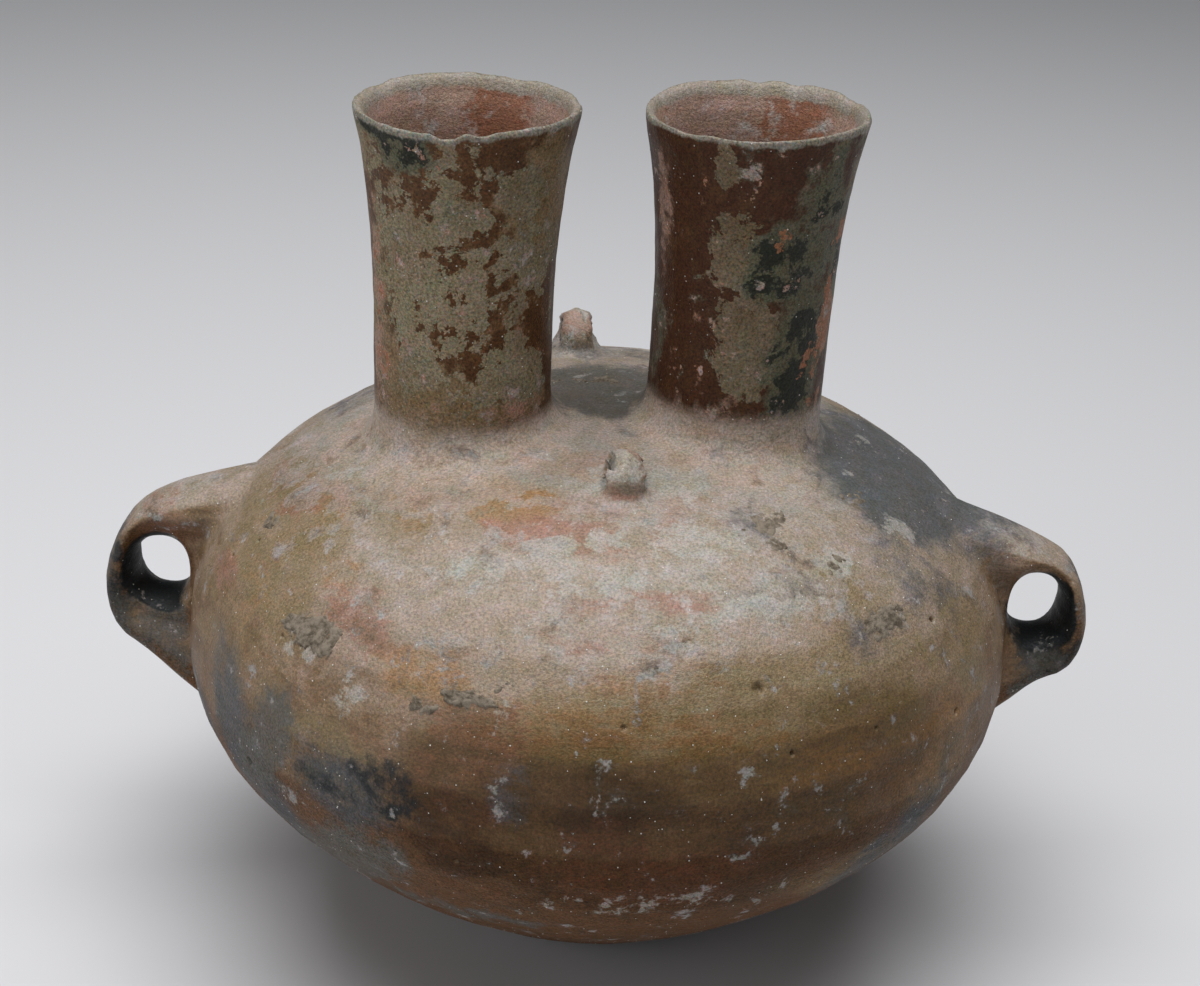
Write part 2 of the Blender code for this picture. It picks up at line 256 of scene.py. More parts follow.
def worked(mesh):
    """Evens the skin lightly all over, then fills the corners between the parts."""
    points, normals = places_of(mesh)
    pairs = read(mesh, mesh.edges, "vertices", 2).astype(np.int64)
    count = np.bincount(pairs.ravel(), minlength=len(points)).astype(float)
    for share in EVENING_SHARES:
        points += share * (mean_of_neighbours(points, pairs, count) - points)
    inner = inner_side(points, normals)
    bore = np.flatnonzero(inner & (points[:, 2] > NECK_STARTS) & (points[:, 2] < RIM_HEIGHT - BORE_END))
    for _ in range(BORE_ROUNDS):
        moved = mean_of_neighbours(points, pairs, count)[bore] - points[bore]
        points[bore] += BORE_SHARE * moved
    zone = corner_zones(points) * ~inner
    near = np.flatnonzero(zone > LEAST_ZONE)
    local = np.full(len(points), -1)
    local[near] = np.arange(len(near))
    touching = (zone[pairs] > LEAST_ZONE).all(1)
    near_pairs = local[pairs[touching]]
    near_count = np.maximum(np.bincount(near_pairs.ravel(), minlength=len(near)), 1).astype(float)
    part, facing, share = points[near], normals[near], zone[near]
    soft_enough = SKIN_STEP**2 / (4 * SOFT_CORNER_RADIUS)
    for _ in range(SMEAR_ROUNDS):
        offset = mean_of_neighbours(part, near_pairs, near_count) - part
        rise = (offset * facing).sum(1)
        part += (share * np.maximum(rise - soft_enough, 0.0))[:, None] * facing * FILLING_SHARE
        part += SLIDING_SHARE * share[:, None] * (offset - rise[:, None] * facing)
    points[near] = part
    mesh.vertices.foreach_set("co", points.ravel())
    mesh.update()


worked(jar.data)


# Hand finish. The lips are worn and wavy with small bites, the walls carry the soft hollows that
# fingers and the burnishing pebble left, and a few pits show where grit or straw came away.
# A lip's dip is: degrees round its neck from the front, half width in degrees, depth in mm.
LIP_DIPS = {
    "left": ((-9, 8, 1.5), (-34, 22, 0.7), (8, 7, 0.5), (30, 20, -0.3), (-100, 20, 0.3),
             (150, 9, 0.5), (-165, 25, -0.4), (95, 14, 0.4), (-128, 7, 0.5)),
    "right": ((-42, 12, 0.6), (-12, 16, 0.2), (38, 18, -0.2), (172, 7, 0.7), (150, 6, 0.6),
              (-150, 18, -0.5), (-95, 9, 0.4), (112, 10, 0.5), (70, 8, 0.3)),
}
# A pit is: degrees round the body from the front, degrees above the belly, radius and depth in mm.
PITS = (
    (-72, 23, 0.8, 0.9), (-75, 19, 0.8, 0.8), (-53, 17, 0.7, 0.7), (52, 20, 0.9, 1.0), (18, 20, 1.6, 1.2),
    (-1, 17, 0.8, 0.7), (21, 12, 0.8, 0.8), (34, 12, 0.7, 0.5), (50, 8, 1.1, 0.9), (-55, -2, 1.3, 1.0),
    (-21, -3, 0.8, 0.7), (-4, -10, 0.8, 0.7), (9, 27, 1.9, 0.5), (118, 14, 1.0, 0.9), (150, 31, 0.8, 0.7),
    (-140, 8, 1.1, 0.9), (-165, 24, 0.8, 0.7), (95, -12, 1.0, 0.8), (178, -5, 1.2, 0.9),
)
PIT_ZONE = 0.0028
PIT_REACH = 2.5
PIT_BOWL = (0.35, 1.1)
MILLIMETRE = 0.001
LOW_PARTS_TOP = 0.158
OUTWARD_PULL = 3e-3
LIP_ZONE = 0.0045
LIP_MIDDLE_RADIUS = 0.0271
LIP_OUTER_RADIUS = 0.0281
LIP_THINNING = 0.0004
LIP_INSIDE_EDGE = (0.0016, 0.0012)
LIP_DEPTHS = (0.013, 0.001)
LIP_WEAR_DEPTHS = (0.0034, 0.0012)
LIP_WEAR_REACH = (0.0050, 0.0026)
LIP_SLOPE = 0.65
LIP_SLOPE_DEPTHS = (0.0090, 0.0012)
LIP_SLOPE_REACH = 0.0036
DIP_EDGE = (0.25, 1.3)
LUG_REACH = 0.013
LUG_HALF_WIDTH = 0.005
LUG_HEAD = (-0.0005, 0.0060)
LUG_DOME = 0.0036
LUG_TAPER = 0.14
LUG_RISE = (-0.0060, -0.0020)
LUG_SLIMMING = 0.10
LUG_WAIST = 0.10
LUG_WAIST_FROM = (-0.0045, -0.0015)
LUG_WAIST_TO = (0.0010, 0.0040)
# A swell is: its height, its size in metres, and a shift of its random pattern.
WALL_SWELLS = ((0.00042, 0.046, 3.1), (0.00022, 0.017, 8.7), (0.00009, 0.0062, 1.9), (0.00005, 0.0028, 5.3))
LIP_WAVER = (0.00035, 0.011, 9.4)
WAVER_STRETCH = (1.0, 1.0, 0.3)
LIP_RIPPLE = (0.0003, 0.0085, 2.2)
RIPPLE_STRETCH = (1.0, 1.0, 0.2)
LIP_CRUMBLE = (0.00012, 0.0032, 7.7)
PIT_RAGGEDNESS = (0.35, 0.0012, 4.4)


def swell(points, row):
    """Smooth random swells of about one size."""
    height, size, shift = row
    moved = points / size + shift
    return height * np.fromiter((noise.noise(place) for place in moved), float, len(points))


def near_rim(points, depths):
    """Goes smoothly from 0 to 1 between two depths below the rim."""
    return eased(points[:, 2], RIM_HEIGHT - depths[0], RIM_HEIGHT - depths[1])


def body_direction(round_degrees, above_degrees):
    turn, rise = math.radians(round_degrees), math.radians(above_degrees)
    return np.array([math.sin(turn) * math.cos(rise), -math.cos(turn) * math.cos(rise), math.sin(rise)])


def body_place(points, outside, round_degrees, above_degrees):
    """The outer point of the body, straps or lugs in a direction from the belly's middle."""
    arms = points - [0.0, 0.0, BELLY_HEIGHT]
    reach = np.linalg.norm(arms, axis=1)
    off = 1.0 - arms @ body_direction(round_degrees, above_degrees) / reach
    low = outside & (points[:, 2] < LOW_PARTS_TOP)
    return int(np.argmin(np.where(low, off - reach * OUTWARD_PULL, np.inf)))


def finely_split(mesh, chosen, cuts):
    """Splits the faces whose points are all chosen, for detail finer than the skin's step."""
    form = bmesh.new()
    form.from_mesh(mesh)
    form.verts.ensure_lookup_table()
    edges = [edge for edge in form.edges if chosen[edge.verts[0].index] and chosen[edge.verts[1].index]]
    bmesh.ops.subdivide_edges(form, edges=edges, cuts=cuts, use_grid_fill=True)
    form.to_mesh(mesh)
    form.free()


points, normals = places_of(jar.data)
finely_split(jar.data, points[:, 2] > RIM_HEIGHT - LIP_ZONE, 1)
points, normals = places_of(jar.data)
outside = ~inner_side(points, normals)
pit_middles = [points[body_place(points, outside, pit[0], pit[1])] for pit in PITS]
near_pit = np.zeros(len(points), bool)
for middle in pit_middles:
    near_pit |= np.linalg.norm(points - middle, axis=1) < PIT_ZONE
finely_split(jar.data, near_pit & outside, 2)

points, normals = places_of(jar.data)
outside = ~inner_side(points, normals)
shift_out = np.zeros(len(points))
for row in WALL_SWELLS:
    shift_out += swell(points, row)
across, along, from_neck = nearest_neck(points)
lip_angle = np.degrees(np.arctan2(across, -along))
lip_share = near_rim(points, LIP_DEPTHS)
drop = np.zeros(len(points))
for side, dips in LIP_DIPS.items():
    mine = points[:, 0] < 0 if side == "left" else points[:, 0] > 0
    for turn, half, depth in dips:
        away = np.abs((lip_angle - turn + 180.0) % 360.0 - 180.0) / half
        drop += np.where(mine, depth * MILLIMETRE * (1.0 - eased(away, *DIP_EDGE)), 0.0)
drop += swell(points * RIPPLE_STRETCH, LIP_RIPPLE) + swell(points, LIP_CRUMBLE)
lip_wear = near_rim(points, LIP_WEAR_DEPTHS)
lip_wear *= eased(from_neck, LIP_OUTER_RADIUS - LIP_WEAR_REACH[0], LIP_OUTER_RADIUS - LIP_WEAR_REACH[1])
lip_swell = swell(points * WAVER_STRETCH, LIP_WAVER) * lip_share
points += normals * (shift_out + lip_swell)[:, None]
inside_edge = (LIP_MIDDLE_RADIUS - LIP_INSIDE_EDGE[0], LIP_MIDDLE_RADIUS + LIP_INSIDE_EDGE[1])
lip_inside = lip_share * (1.0 - eased(from_neck, *inside_edge))
widening = LIP_THINNING * lip_inside / np.maximum(from_neck, 1e-9)
points[:, 0] += across * widening
points[:, 1] += along * widening
points[:, 2] -= drop * lip_share
slope_share = near_rim(points, LIP_SLOPE_DEPTHS) * (from_neck > NECK_MIDDLE_RADIUS)
points[:, 2] -= LIP_SLOPE * slope_share * np.clip(LIP_OUTER_RADIUS - from_neck, 0.0, LIP_SLOPE_REACH)
for place in LUG_PLACES:
    away = points - place
    near_lug = (np.linalg.norm(away, axis=1) < LUG_REACH) & outside
    head = eased(away[:, 2], *LUG_HEAD) * near_lug
    points[:, 2] -= LUG_DOME * head * np.clip(np.abs(away[:, 0]) / LUG_HALF_WIDTH, 0.0, 1.0) ** 2
    waist = near_lug * eased(away[:, 2], *LUG_WAIST_FROM) * (1.0 - eased(away[:, 2], *LUG_WAIST_TO))
    rise = near_lug * eased(away[:, 2], *LUG_RISE)
    points[:, 0] -= away[:, 0] * (LUG_SLIMMING * rise + LUG_WAIST * waist + LUG_TAPER * head**2)
for middle, pit in zip(pit_middles, PITS):
    away = np.linalg.norm(points - middle, axis=1) / (pit[2] * MILLIMETRE)
    ragged_edge = np.zeros(len(points))
    close = np.flatnonzero((away < PIT_REACH) & outside)
    ragged_edge[close] = swell(points[close], PIT_RAGGEDNESS)
    bowl = 1.0 - eased(away + ragged_edge, *PIT_BOWL)
    points[close] -= normals[close] * (bowl[close] * pit[3] * MILLIMETRE)[:, None]
points[:, 2] = np.maximum(points[:, 2], 0.0)
jar.data.vertices.foreach_set("co", points.ravel())
jar.data.update()


def stored(mesh, name, values):
    """Keeps one number a point on the mesh, for the material to read."""
    field = mesh.attributes.new(name, "FLOAT", "POINT")
    field.data.foreach_set("value", np.asarray(values, np.float32))


stored(jar.data, "lip", lip_wear)


# Thinning. The skin keeps its fine faces at the lips, pits, straps and lugs, and is made lighter
# where it is even, most of all inside, so that the whole jar stays a light enough mesh.
MOST_TRIANGLES = 192000
fine_triangles = len(jar.data.loops) - 2 * len(jar.data.polygons)
thin = jar.modifiers.new("thin", "DECIMATE")
thin.ratio = min(1.0, MOST_TRIANGLES / fine_triangles)
settled(jar)
jar.data.shade_smooth()


# Finish areas. The fire, the slip, the burial and the wear each left their marks in their own places,
# and some marks are painted light and painted shade: paler neck feet, a darker saddle between the
# necks, darker roots under the straps and black holes.
# A mark on the body is: degrees round from the front, degrees above the belly, half width and half
# height in mm, strength, and its tilt in degrees if it leans. On a neck the second number is its
# height in mm.
BODY_MARKS = {
    "fire": (
        (92, 31, 34, 34, 1.3, -35), (78, 34, 25, 24, 1.5), (56, 27, 14, 18, 0.6), (-36, 2, 15, 11, 0.9),
        (39, 22, 10, 8, 0.5), (40, -8, 21, 12, 0.9, 42), (62, -12, 26, 12, 0.9, 20),
        (-55, -3, 38, 11, 1.1, -52), (-75, -4, 22, 11, 0.8), (-14, 8, 6, 9, 0.5), (32, 44, 7, 8, 0.6),
        (25, 32, 16, 5, 0.5), (-26, 33, 8, 4, 0.3), (150, 20, 42, 26, 1.0, 10), (-150, 8, 24, 30, 0.7),
        (178, 46, 26, 16, 0.5), (115, -6, 30, 18, 0.8), (-120, 34, 20, 14, 0.6), (-170, -14, 30, 16, 0.8),
    ),
    "black": (
        (-30, 4, 8, 9, 0.95), (-39, 2, 13, 3, 0.7, -5), (-33, 6, 7, 5, 0.7), (-97, 2, 9, 13, 1.1),
        (83, -1, 17, 12, 1.2), (84, 9, 10, 9, 0.5), (148, 18, 16, 10, 0.9, 15), (-152, 2, 10, 12, 0.8),
    ),
    "deep": (
        (6, 3, 66, 26, 1.1), (-18, 8, 20, 18, 1.3), (30, 9, 34, 18, 1.0), (-4, 11, 26, 13, 1.0),
        (10, 19, 34, 8, 0.5), (150, 0, 40, 16, 0.8), (-130, 2, 30, 12, 0.6),
    ),
    "orange": (
        (-31, 48, 14, 10, 1.3), (-19, 64, 14, 8, 1.2), (14, 56, 9, 5, 0.8), (-68, 34, 12, 9, 0.8, -20),
        (-29, 20, 17, 7, 0.8), (-55, 42, 14, 8, 0.7, -15), (-64, 14, 17, 18, 0.45), (46, 4, 22, 14, 1.1),
        (28, 6, 22, 14, 0.8), (25, 49, 5, 8, 0.5), (-2, 16, 50, 7, 0.7), (34, -10, 26, 10, 0.8),
        (-50, 28, 9, 6, 0.6), (4, 22, 20, 5, 0.5), (130, 14, 22, 10, 0.8), (-140, 46, 16, 9, 0.7),
    ),
    "ochre": (
        (-70, 27, 43, 24, 1.0, -20), (-66, 16, 24, 21, 0.8), (-4, 17, 35, 10, 1.2), (19, 19, 28, 12, 1.2),
        (37, 25, 18, 30, 0.8), (41, 15, 19, 16, 0.8), (-30, 52, 13, 10, 0.9), (30, 56, 16, 11, 0.5),
        (67, 46, 15, 17, 0.6), (21, -1, 35, 14, 0.5), (-41, 6, 20, 9, 1.0), (58, 14, 14, 22, 0.8),
        (-50, 40, 22, 14, 0.7), (120, 32, 26, 16, 0.7), (-125, 18, 30, 18, 0.8), (170, 8, 30, 14, 0.8),
        (-160, 50, 22, 12, 0.6),
    ),
    "pink": (
        (-72, 32, 7, 16, 0.8, -40), (-56, 46, 17, 10, 0.6), (-31, 68, 26, 11, 0.6), (45, 65, 27, 5, 0.6),
        (-74, 17, 10, 6, 0.9), (-43, 23, 15, 10, 0.7), (-19, 15, 14, 9, 0.9), (-25, 9, 6, 6, 0.8),
        (-19, 6, 11, 10, 0.7), (-18, 44, 15, 9, 0.6), (-3, 27, 23, 4, 0.5), (3, -3, 28, 12, 0.8),
        (80, 19, 7, 9, 0.6, -20), (-94, 15, 15, 9, 0.6, 10), (4, 50, 26, 8, 0.6), (135, 44, 20, 10, 0.6),
        (-14, 43, 22, 8, 1.1), (2, 33, 26, 5, 0.8), (-4, 52, 14, 4, 0.9), (-2, 3, 14, 6, 0.9),
        (-85, 31, 16, 11, 0.6), (-19, 9, 13, 11, 0.7), (-38, 62, 16, 8, 0.6), (12, 46, 10, 5, 0.7),
        (46, 56, 12, 6, 0.6), (-140, 28, 22, 10, 0.7, 20), (165, 26, 16, 8, 0.7), (-100, 40, 14, 10, 0.5),
    ),
    "umber": (
        (-6, 8, 24, 9, 1.0), (-11, 9, 7, 10, 0.6), (0, -3, 26, 9, 0.3), (-20, -2, 14, 10, 0.5, -25),
        (24, 4, 14, 8, 0.6), (140, -2, 34, 12, 0.7), (-125, -4, 30, 16, 0.6), (180, -8, 40, 14, 0.7),
    ),
    "chalk": (
        (-6, 59, 4, 9, 0.8), (20, 57, 9, 9, 0.9, -15), (-5, 42, 17, 5, 0.8, 4), (17, 43, 13, 7, 0.8, -10),
        (43, 33, 6, 4, 0.9), (51, 45, 5, 3, 0.9, -20), (62, 31, 6, 5, 0.7), (-36, 38, 3, 2, 0.9, -30),
        (-76, 38, 4, 8, 0.8, -40), (20, 31, 24, 5, 0.6), (0, -8, 21, 6, 0.4), (-23, 34, 20, 6, 0.5),
        (-38, 14, 4, 5, 0.5), (-17, 16, 3, 6, 0.8, -25), (-49, 17, 6, 5, 0.6), (-37, 64, 8, 3, 0.5),
        (2, 36, 34, 6, 0.6), (160, 38, 12, 6, 0.8, 10), (-145, 42, 8, 5, 0.7), (110, 20, 8, 5, 0.7),
        (-178, 18, 10, 5, 0.7), (-112, 24, 6, 4, 0.8),
    ),
    # Some grime marks are painted shade: those on the saddle between the necks, in front and behind, darken
    # it as the necks' shade would.
    "grime_and_shade": (
        (-179, 74, 30, 20, 1.0), (0, 93, 9, 9, 0.9), (-39, -10, 24, 12, 0.9, 30),
        (-52, 3, 9, 20, 0.9, -30), (-22, -17, 24, 7, 0.7), (100, 60, 14, 12, 0.5), (-100, 56, 12, 14, 0.4),
        (175, 50, 16, 10, 0.4),
    ),
    "dust_and_light": (
        (-96, 17, 17, 9, 0.2), (85, 19, 17, 9, 0.9), (-46, 6, 14, 11, 0.6), (2, 58, 7, 6, 1.2),
        (-175, 49, 8, 8, 1.2), (-8, 62, 7, 8, 0.8), (21, 58, 7, 11, 0.7), (-10, 38, 26, 4, 0.5),
        (25, 31, 19, 7, 0.5), (2, 52, 20, 9, 0.3), (30, 46, 22, 12, 0.3), (-20, 62, 24, 8, 0.3),
        (20, 36, 40, 9, 0.25),
    ),
    "crust": (
        (-47, 19, 10, 5, 1.0, 5), (-52, 19, 4, 3, 0.8), (-21, 19, 8, 2, 1.0), (-27, 16, 4, 2, 0.8),
        (36, 44, 8, 4, 0.8), (33, 38, 4, 3, 0.7), (43, 23, 11, 4, 0.8), (43, 33, 5, 3, 0.7),
        (-74, 26, 4, 3, 0.8), (62, 39, 6, 6, 0.5), (-17, 20, 3, 2, 0.9), (-178, 70, 12, 3, 0.6),
        (130, 26, 9, 5, 0.9), (-168, 33, 8, 4, 0.9), (-110, 8, 6, 4, 0.8), (172, -2, 7, 4, 0.8),
    ),
}
NECK_MARKS = {
    "slip": {
        "left": (
            (-20, 184, 20, 30, 0.64), (-42, 196, 14, 26, 0.76), (16, 180, 22, 24, 0.51),
            (-14, 208, 18, 9, 0.70), (22, 196, 10, 12, 0.50), (-22, 220, 7, 6, 0.62),
            (32, 215, 9, 8, 0.90), (-6, 222, 8, 8, 0.75), (48, 190, 10, 26, 0.42), (32, 168, 12, 12, 0.95),
            (-30, 222, 10, 6, 0.60), (130, 195, 20, 26, 0.75), (-120, 180, 16, 20, 0.7),
            (-60, 222, 12, 8, 0.7),
        ),
        "right": (
            (-10, 201, 8, 12, 0.95), (3, 176, 9, 15, 1.1), (4, 199, 6, 6, 0.9), (-24, 224, 3, 9, 0.9),
            (44, 217, 10, 16, 0.5), (150, 200, 18, 22, 0.9), (-130, 172, 12, 14, 0.7),
        ),
    },
    "smudge": {
        "left": ((-35, 224, 9, 6, 0.8), (-48, 229, 13, 3, 1.2), (170, 212, 14, 12, 0.8)),
        "right": (
            (16, 202, 9, 8, 1.1), (8, 192, 6, 5, 1.0), (32, 172, 9, 20, 1.15), (42, 200, 15, 28, 0.75),
            (-76, 168, 6, 16, 0.4), (100, 180, 14, 26, 0.8),
        ),
    },
    "scrape": {
        "left": ((-62, 182, 5, 20, 0.4),),
        "right": (
            (58, 178, 5, 9, 0.9), (46, 170, 4, 5, 0.7), (17, 205, 3, 4, 0.7), (48, 158, 6, 3, 0.7),
            (58, 189, 3, 3, 0.8), (57, 205, 4, 5, 0.6),
        ),
    },
    "ochre": {
        "left": (
            (50, 211, 13, 23, 1.0), (-35, 163, 17, 8, 1.0), (24, 158, 25, 5, 0.8), (-60, 185, 8, 26, 0.8),
            (-20, 154, 22, 4, 0.9), (-160, 180, 14, 20, 0.7),
        ),
        "right": ((72, 215, 10, 14, 0.5), (180, 170, 14, 14, 0.7)),
    },
    "pink": {
        "left": ((-70, 182, 5, 28, 0.8),),
        "right": ((-36, 155, 23, 2, 0.5), (40, 154, 30, 2, 0.5), (-66, 210, 4, 20, 0.7)),
    },
}

MARK_EDGE = (0.45, 1.45)
ROUND_WEIGHT = 0.04
NECK_LINE = (0.1500, 0.1545)
NECK_LINE_RISE = 0.0035
NECK_LINE_TURN = (-0.004, 0.008)
NECK_REACH = 0.034
STRAP_STARTS = (0.113, 0.119)
STRAP_HOLE_FACING = (0.0, 0.45)
STRAP_HOLE_REACH = (0.0100, 0.0135)
STRAP_SOOT = (0.1270, 0.1335)
STRAP_SOOT_TOP = (0.110, 0.120)
LEFT_STRAP_BLACK = 0.85
RIGHT_STRAP_BLACK = 0.52
STRAP_FIRE = 0.80
STRAP_ROOT = (0.112, 0.116)
STRAP_ROOT_TOP = (0.082, 0.096)
STRAP_ROOT_SHADE = 0.60
# Painted light: the shoulder round the necks' feet is made paler, with more dust colour and a pale colour, to
# lift the shade that the necks cast there.
NECK_FOOT_TOP = 0.162
LIT_FOOT_REACH = (0.035, 0.052)
NECK_FOOT_LIGHT = 1.10
PALE_LIT_FOOT_REACH = (0.030, 0.046)
BARE_FOOT = (0.154, 0.166)
BARE_FOOT_SLIP = 0.60
LUG_HOLE_SIDES = (0.0030, 0.0048)
LUG_HOLE_ENDS = (0.0052, 0.0066)
LUG_CHALK = (-0.0040, 0.0040)
LUG_CHALK_REACH = 0.012
LUG_DUST = 0.85
LUG_DUST_REACH = (0.010, 0.018)
EMBERS = ((-0.0290, 0.0220, 0.2220), (0.0470, 0.0190, 0.2210), (-0.0460, 0.0100, 0.2120))
EMBER_REACH = (0.003, 0.014)


def mark_shape(points, normals, middle, turn_axis, row):
    """One mark's strength over the surface: full in its middle, and fading out past its edge."""
    half_width, half_height, strength, *tilt = row
    facing = normals[middle]
    upward = np.cross(facing, turn_axis)
    upward /= np.linalg.norm(upward)
    rightward = np.cross(upward, facing)
    away = (points - points[middle]) * 1000.0
    to_right, to_top, outward = away @ rightward, away @ upward, away @ facing
    lean, climb = math.cos(math.radians(sum(tilt))), math.sin(math.radians(sum(tilt)))
    wide = (to_right * lean + to_top * climb) / half_width
    tall = (to_top * lean - to_right * climb) / half_height
    deep = outward / (half_width + half_height)
    return strength * (1.0 - eased(np.sqrt(wide**2 + tall**2 + deep**2), *MARK_EDGE))


points, normals = places_of(jar.data)
inner = inner_side(points, normals)
outside = ~inner
across, along, from_neck = nearest_neck(points)
finish_marks = {name: np.zeros(len(points)) for name in {**BODY_MARKS, **NECK_MARKS}}


def add_mark(name, strength):
    finish_marks[name] = np.maximum(finish_marks[name], strength)


def level_axis(round_degrees):
    """The level direction along the surface, so many degrees round from the front."""
    turn = math.radians(round_degrees)
    return np.array([math.cos(turn), math.sin(turn), 0.0])


for name, rows in BODY_MARKS.items():
    for row in rows:
        middle = body_place(points, outside, row[0], row[1])
        add_mark(name, mark_shape(points, normals, middle, level_axis(row[0]), row[2:]))
for name, sides in NECK_MARKS.items():
    for side, rows in sides.items():
        mine = (points[:, 0] < 0) == (side == "left")
        for row in rows:
            turn = math.radians(row[0])
            towards = across * math.sin(turn) - along * math.cos(turn)
            off = (1.0 - towards / np.maximum(from_neck, 1e-9)) * ROUND_WEIGHT
            off += np.abs(points[:, 2] - row[1] * MILLIMETRE)
            middle = int(np.argmin(np.where(mine & outside & (points[:, 2] > NECK_STARTS), off, np.inf)))
            add_mark(name, mark_shape(points, normals, middle, level_axis(row[0]), row[2:]) * mine)

neck_line = points[:, 2] - NECK_LINE_RISE * eased(points[:, 0], *NECK_LINE_TURN)
neck_zone = eased(neck_line, *NECK_LINE) * (from_neck < NECK_REACH)
from_middle = np.hypot(points[:, 0], points[:, 1])
on_strap = eased(from_middle, *STRAP_STARTS)
# Painted shade: the faces inside the straps' holes, and the lugs' cord holes below, are coloured black as the
# shade in them.
hollow = np.zeros(len(points))
for place in HANDLE_HOLES.values():
    towards = np.array(place) - points
    towards[:, 1] = 0.0
    to_hole = np.linalg.norm(towards, axis=1)
    facing_hole = (towards * normals).sum(1) / np.maximum(to_hole, 1e-9)
    near_hole = 1.0 - eased(to_hole, *STRAP_HOLE_REACH)
    hollow = np.maximum(hollow, on_strap * eased(facing_hole, *STRAP_HOLE_FACING) * near_hole)
strap_edge = eased(np.abs(points[:, 0]), *STRAP_SOOT) * (1.0 - eased(points[:, 2], *STRAP_SOOT_TOP))
add_mark("black", np.where(points[:, 0] < 0.0, LEFT_STRAP_BLACK, RIGHT_STRAP_BLACK) * strap_edge)
add_mark("fire", STRAP_FIRE * strap_edge)
# Painted shade: the straps' lower roots, below the belly, get the grime colour as the shade under them.
strap_root_shade = eased(from_middle, *STRAP_ROOT) * (1.0 - eased(points[:, 2], *STRAP_ROOT_TOP))
add_mark("grime_and_shade", STRAP_ROOT_SHADE * strap_root_shade)
# Painted light: more dust colour and a pale colour round the necks' feet, where the necks' shade falls.
below_neck = points[:, 2] < NECK_FOOT_TOP
add_mark("dust_and_light", NECK_FOOT_LIGHT * ((1.0 - eased(from_neck, *LIT_FOOT_REACH)) * below_neck))
finish_marks["painted_foot_light"] = (1.0 - eased(from_neck, *PALE_LIT_FOOT_REACH)) * below_neck
finish_marks["slip"] *= BARE_FOOT_SLIP + (1.0 - BARE_FOOT_SLIP) * eased(points[:, 2], *BARE_FOOT)
for place in LUG_PLACES:
    away = points - place
    reach = np.linalg.norm(away, axis=1)
    beside = np.hypot(away[:, 1], away[:, 2])
    lug_hole_shade = (1.0 - eased(beside, *LUG_HOLE_SIDES)) * (1.0 - eased(np.abs(away[:, 0]), *LUG_HOLE_ENDS))
    hollow = np.maximum(hollow, lug_hole_shade)
    add_mark("chalk", eased(away[:, 2], *LUG_CHALK) * (reach < LUG_CHALK_REACH))
    add_mark("dust_and_light", LUG_DUST * (1.0 - eased(reach, *LUG_DUST_REACH)))
ember = np.zeros(len(points))
for place in EMBERS:
    ember = np.maximum(ember, 1.0 - eased(np.linalg.norm(points - place, axis=1), *EMBER_REACH))
for mark in finish_marks.values():
    mark *= outside
finish_marks["ember"] = ember * inner
finish_marks["neck"] = neck_zone * outside
finish_marks["inside"] = inner.astype(float)
finish_marks["hollow"] = hollow

for name, values in finish_marks.items():
    stored(jar.data, name, values)


# The clay's material: brown burnished clay with ochre and pink zones, fire clouds from the open
# firing, flaked slip on the necks, chalky scale, painted shade in the holes of the straps and lugs,
# painted light on faces turned up, painted shade on faces turned down, and pale worn lips.
CLAY_COLOURS = {name: (*colour, 1.0) for name, colour in {
    "brown": (0.190, 0.110, 0.058),
    "pale_brown": (0.265, 0.190, 0.112),
    "orange": (0.300, 0.165, 0.068),
    "ochre": (0.225, 0.160, 0.082),
    "pink": (0.275, 0.140, 0.098),
    "tan": (0.300, 0.225, 0.165),
    "dust_and_light": (0.362, 0.314, 0.272),
    "pale_dust": (0.520, 0.405, 0.320),
    "umber": (0.066, 0.030, 0.012),
    "red_brown": (0.120, 0.056, 0.024),
    "low_red": (0.190, 0.080, 0.045),
    "fire": (0.070, 0.081, 0.090),
    "black": (0.010, 0.013, 0.014),
    "grime_and_shade": (0.105, 0.097, 0.082),
    "chalk": (0.375, 0.350, 0.300),
    "rust": (0.092, 0.038, 0.013),
    "deep_red": (0.056, 0.020, 0.008),
    "deep_tint": (0.560, 0.500, 0.340),
    "plain": (1.0, 1.0, 1.0),
    "rust_brown": (0.150, 0.082, 0.034),
    "neck_ochre": (0.230, 0.160, 0.085),
    "neck_pink": (0.330, 0.200, 0.145),
    "slip": (0.262, 0.214, 0.138),
    "deep_slip": (0.170, 0.132, 0.078),
    "green_film": (0.110, 0.108, 0.068),
    "smudge": (0.016, 0.018, 0.013),
    "scrape": (0.290, 0.125, 0.060),
    "inside": (0.320, 0.215, 0.170),
    "inside_red": (0.230, 0.098, 0.056),
    "lip": (0.270, 0.245, 0.200),
    "glint": (0.760, 0.740, 0.700),
}.items()}


def node(tree, kind, sockets=(), **options):
    """Adds a node, sets its options, and fills its sockets with plain values or other nodes' outputs."""
    made = tree.nodes.new(kind)
    for name, value in options.items():
        setattr(made, name, value)
    for name, value in dict(sockets).items():
        if isinstance(value, bpy.types.NodeSocket):
            tree.links.new(value, made.inputs[name])
        else:
            made.inputs[name].default_value = value
    return made


def sum_of(tree, operation, first, second, third=0.0):
    return node(tree, "ShaderNodeMath", {0: first, 1: second, 2: third}, operation=operation).outputs[0]


def mixed(tree, share, under, over, blend="MIX"):
    """Lays one colour over another by a share."""
    made = node(tree, "ShaderNodeMix", {0: share, 6: under, 7: over}, data_type="RGBA", blend_type=blend)
    return made.outputs[2]


def spread(tree, value, low, high, to_low=0.0, to_high=1.0):
    """Turns a range of values into another, smoothly at both ends."""
    sockets = {"Value": value, "From Min": low, "From Max": high, "To Min": to_low, "To Max": to_high}
    return node(tree, "ShaderNodeMapRange", sockets, interpolation_type="SMOOTHSTEP").outputs["Result"]


